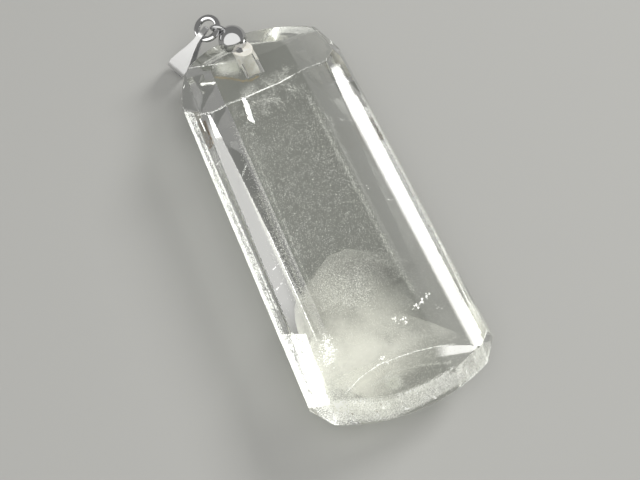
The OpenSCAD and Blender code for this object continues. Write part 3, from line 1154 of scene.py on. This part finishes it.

# %% [markdown]
# ## Frost, chips and painted highlights
# Grains frost the left side and glow white, most toward the lower corner; that
# white glow is a painted highlight. Every ridge has lost crumbs where stones knocked
# together, and the thin white thread along each ridge is a painted highlight as
# well, the glow of grains laid as crumbs. Cut into the mesh, each crumb would cost
# many faces and unsettle the flat facets. So both are grains again, laid just under
# the facet along lines that are read off the photograph.

# %% Frost of the left side
LEFT_STRIP = ((183, 112), (193, 112), (315, 408), (308, 408))
LEFT_RIM = ((183, 112), (187, 112), (312, 408), (309, 408))
LEFT_THREAD = ((206, 150), (208, 150), (278, 310), (276, 310))
LEFT_CORNER = ((279, 334), (306, 334), (330, 404), (312, 408))
rng = np.random.default_rng(22)
strip = seen_points(LEFT_STRIP, 16000, rng, 0.10, 0.35)
strip = strip[rng.random(len(strip)) < 0.25 + 0.75 * drift(strip * (1, 0.25, 1), 1.4, 4)]
rim = seen_points(LEFT_RIM, 9000, rng, 0.08, 0.25)
thread = seen_points(LEFT_THREAD, 1800, rng, 0.15, 0.3)
corner = seen_points(LEFT_CORNER, 8000, rng, 0.15, 1.2)
frost = np.vstack([strip, rim, thread, corner])
# the glow of these grains is a painted highlight along the left side and its lower corner
grain_piece("left_frost_painted_glow", frost, rng.uniform(0.06, 0.14, len(frost)), rng, frost_with_painted_glow)

# %% Chipped ridges
LEFT_SHOULDER = ((183, 108), (187, 112), (197, 115), (213, 112), (228, 104), (244, 98))
SHOULDER = ((244, 98), (262, 90), (281, 82), (293, 75))
RIGHT_SHOULDER = ((293, 75), (306, 68), (325, 61))
LOW_RIDGE = ((345, 394), (360, 378), (378, 365), (396, 358), (413, 352), (434, 347), (455, 344))
SEAT_RIDGE = ((189, 68), (211, 65), (226, 63))
LOWER_RIM = ((309, 410), (322, 420), (341, 426), (364, 425.5), (388, 421.5), (426, 409.7),
             (461, 388), (486, 365), (491, 345))


def ridge_points(line, per_px, rng, deep=0.12, blur=0.35):
    """Points, in mm, just under a line that is given by points of the photograph."""
    found = []
    for (ax, ay), (bx, by) in zip(line, line[1:]):
        count = int(math.hypot(bx - ax, by - ay) * per_px)
        a, b = np.array((ax, ay)), np.array((bx, by))
        for share in rng.random(count):
            spot = a + share * (b - a) + rng.normal(0, blur, 2)
            point = inside(spot[0], spot[1], deep)
            if point is not None:
                found.append(point)
    return np.array(found)


rng = np.random.default_rng(24)
ridges = np.vstack([ridge_points(LEFT_SHOULDER, 5, rng, blur=0.6),
                    ridge_points(SHOULDER, 9, rng), ridge_points(RIGHT_SHOULDER, 2.5, rng),
                    ridge_points(LOW_RIDGE, 3.5, rng), ridge_points(SEAT_RIDGE, 5, rng),
                    ridge_points(LOWER_RIM, 9, rng, deep=0.1, blur=0.5)])
# the glow of the chips is a painted highlight that draws each ridge as a white thread
grain_piece("ridge_chips_painted_highlight", ridges, rng.uniform(0.05, 0.11, len(ridges)), rng, frost_with_painted_glow)

# %% [markdown]
# ## Veils and stains
# A veil is a healed crack full of tiny bubbles. One hangs under the shoulder,
# some stand in front of the lower end, and the end wall itself is frosted. A
# see-through sheet could stand for each, but it would vanish edge on, and grains
# in a thin layer show from every side. Glue has crept into the stone beside the
# hole, and its rim has aged to gold. A brown stain sits under the left shoulder.

# %% Where the veils hang
SHOULDER_VEIL = ((232, 108), (300, 80), (304, 90), (240, 132))
ABOVE_SHOULDER = ((246, 90), (290, 66), (300, 78), (240, 100))
GLUE_LOBE = ((217, 64), (238, 61), (238, 72), (219, 73))
END_WALL_LEFT = ((330, 403), (390, 401), (395, 419), (336, 425))
END_WALL_RIGHT = ((390, 401), (472, 363), (480, 374), (395, 419))
END_CORNER = ((474, 346), (491, 341), (490, 360), (478, 372))
LOW_CORNER = ((310, 404), (328, 402), (338, 424), (326, 423))
LENS_STREAK = ((372, 386), (392, 372), (420, 365), (452, 362))
LOW_STREAK = ((356, 402), (376, 400), (408, 396), (440, 384), (468, 368))
LEFT_FOG = ((312, 342), (340, 346), (350, 402), (332, 404))
# grains along RIGHT_STRIP draw the thin light line of the right outline: a painted highlight
RIGHT_STRIP = ((360, 95), (363, 95), (490, 335), (487, 335))
WHITE_BLOCK = ((384, 377), (399, 375), (401, 387), (387, 390))
print("veil across the shoulder: %d px" % (SHOULDER_VEIL[1][0] - SHOULDER_VEIL[0][0]))

# %% Veil under the shoulder and glue beside the hole
rng = np.random.default_rng(23)
shoulder = seen_layers(rng, (SHOULDER_VEIL, 6500, 0.4, 1.0, 3),
                       (ABOVE_SHOULDER, 4500, 0.4, 1.0, 3.5))
shoulder = shoulder[rng.random(len(shoulder)) < drift(shoulder, 0.8, 6) ** 1.5]
lobe = seen_points(GLUE_LOBE, 8000, rng, 1.6, 2.4, blur=2.5)
print("points under the shoulder %d, beside the hole %d" % (len(shoulder), len(lobe)))

# %% Frosted end wall
wall = seen_layers(rng, (END_WALL_LEFT, 6000, 0.2, 1.2, 1),
                   (END_WALL_RIGHT, 6000, 0.2, 1.2, 1),
                   (END_CORNER, 3500, 0.15, 0.9, 1),
                   (LEFT_FOG, 7000, 0.6, 4.0, 6))
end_frost = seen_layers(rng, (END_WALL_LEFT, 4500, 0.2, 1.2, 1),
                        (END_WALL_RIGHT, 4500, 0.2, 1.2, 1),
                        (END_CORNER, 1500, 0.15, 0.9, 1),
                        (LOW_CORNER, 2600, 0.12, 0.7, 1))
grain_piece("end_frost", end_frost, rng.uniform(0.03, 0.08, len(end_frost)), rng, frost_with_painted_glow)

# %% Thin veils
block = seen_points(WHITE_BLOCK, 2200, rng, 0.4, 1.0, blur=1.5)
strip = seen_points(RIGHT_STRIP, 4000, rng, 0.1, 0.3)
streaks = np.vstack([ridge_points(LENS_STREAK, 9, rng, deep=0.9, blur=1.0),
                     ridge_points(LOW_STREAK, 9, rng, deep=0.9, blur=1.2)])
veil = np.vstack([lobe, wall, block, strip, streaks])
grain_piece("shoulder_veil", shoulder, rng.uniform(0.03, 0.10, len(shoulder)), rng, speckle_with_painted_glow)
grain_piece("thin_veils", veil, rng.uniform(0.03, 0.10, len(veil)), rng, dust_with_painted_glow)

# %% Stains
GLUE_RIM = ((215, 77), (226, 78), (234, 79), (243, 81), (252, 80), (259, 76))
BROWN_LENS = ((198, 124), (206, 120), (213, 146), (209, 150))
DARK_SPECKS = ((381, 404), (377, 411), (352, 414))


def square_round(x, y):
    """The corners of a square of 2 px round a point of the photograph."""
    return (x - 1, y - 1), (x + 1, y - 1), (x + 1, y + 1), (x - 1, y + 1)


golden = ridge_points(GLUE_RIM, 13, rng, deep=1.6, blur=0.7)
grain_piece("golden_rim", golden, rng.uniform(0.06, 0.12, len(golden)), rng, gold_with_painted_glow)
brown = seen_points(BROWN_LENS, 900, rng, 0.3, 0.8)
dark_specks = np.vstack([seen_points(square_round(*spot), 12, rng, 0.2, 0.4)
                         for spot in DARK_SPECKS])
stain = np.vstack([brown, dark_specks])
grain_piece("brown_stains", stain, rng.uniform(0.06, 0.14, len(stain)), rng, rust_look)

# %% [markdown]
# ## Bright flecks
# Small fractures inside the crystal stand at odd angles and flash where they
# face the light. Here each flash is a painted glint: the chips glow, brighter or
# dimmer at random over each one. Dots painted on the facet would slide over the
# ghosts as the stone turns, so the flecks are flat chips, far larger than the dust,
# that hang at a depth. They are set where the photograph shows them: a chain of
# flashes on the right of the lower ghost, a cluster down its left, and a few strays.

# %% Fleck material
# the flecks' flash is a painted glint: emission, strong or dim at random over each chip
FLECK_GLOW = 1.1
DIM_GLINT = (0.25, 0.25, 0.24)
FULL_GLINT = (1.0, 1.0, 0.97)
fleck_look, tree, shader, place = new_material(
    "bright_fleck", (1.0, 1.0, 0.98), Roughness=0.2)
glint = place_group(tree, cloud, place, Scale=5000.0, Low=0.3, High=0.6)
shine = two_tones(tree, glint.outputs["Mask"], DIM_GLINT, FULL_GLINT)
tree.links.new(shine, shader.inputs["Emission Color"])
shader.inputs["Emission Strength"].default_value = FLECK_GLOW
print("fleck material:", fleck_look.name)

# %% Flecks
FLECK_TRAILS = (
    # from, to (in the photograph), depth and width in mm, number, size in mm
    ((414, 309), (430, 294), 3.5, 0.16, 34, 0.42),
    ((393, 318), (409, 322), 3.5, 0.18, 30, 0.36),
    ((325, 336), (331, 361), 0.8, 0.34, 190, 0.28),
    ((318, 350), (326, 368), 0.8, 0.45, 90, 0.20),
    ((381, 358), (387, 361), 0.5, 0.13, 16, 0.34),
    ((436, 306), (441, 308), 3.0, 0.10, 7, 0.20),
    ((386, 199), (393, 200), 1.5, 0.05, 10, 0.18),
    ((366, 183), (370, 190), 1.5, 0.10, 7, 0.16),
    ((340, 118), (342, 120), 1.5, 0.05, 4, 0.16),
    ((272, 271), (279, 263), 0.8, 0.05, 14, 0.22),
    ((276, 290), (282, 283), 0.8, 0.05, 14, 0.22),
    ((466, 371), (468, 373), 0.6, 0.08, 8, 0.30),
    ((382, 407), (384, 409), 0.6, 0.08, 8, 0.28),
    ((405, 407), (407, 409), 0.6, 0.08, 8, 0.28),
    ((434, 396), (436, 398), 0.6, 0.08, 8, 0.28),
)
rng = np.random.default_rng(7)
fleck_points, fleck_sizes = [], []
for start, end, deep, width, number, size in FLECK_TRAILS:
    start, end = (inside(*spot, deep) for spot in (start, end))
    along = rng.random(number)[:, None]
    spot = start * (1 - along) + end * along
    fleck_points.append(spot + rng.normal(0, width, (number, 3)) * (1, 1, 0.6))
    fleck_sizes.append(size * rng.uniform(0.35, 1.0, number) ** 1.5)
grain_piece("flecks", np.vstack(fleck_points), np.concatenate(fleck_sizes),
            rng, fleck_look, squash=0.25)

# %% [markdown]
# ## Does it still fit?
# The dressed pendant should stay inside the box of its exact solids. Both boxes
# are worked out and their sizes printed, so that a slip of a piece past the stone
# shows as a number.

# %% Work out the two boxes and print them
boxes = {"cad": [list(map(float, corner)) for corner in cad_box],
         "visual": [list(map(float, corner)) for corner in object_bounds()]}
for name, (low, high) in boxes.items():
    print(name, "box in mm:", [round((b - a) / MM, 2) for a, b in zip(low, high)])
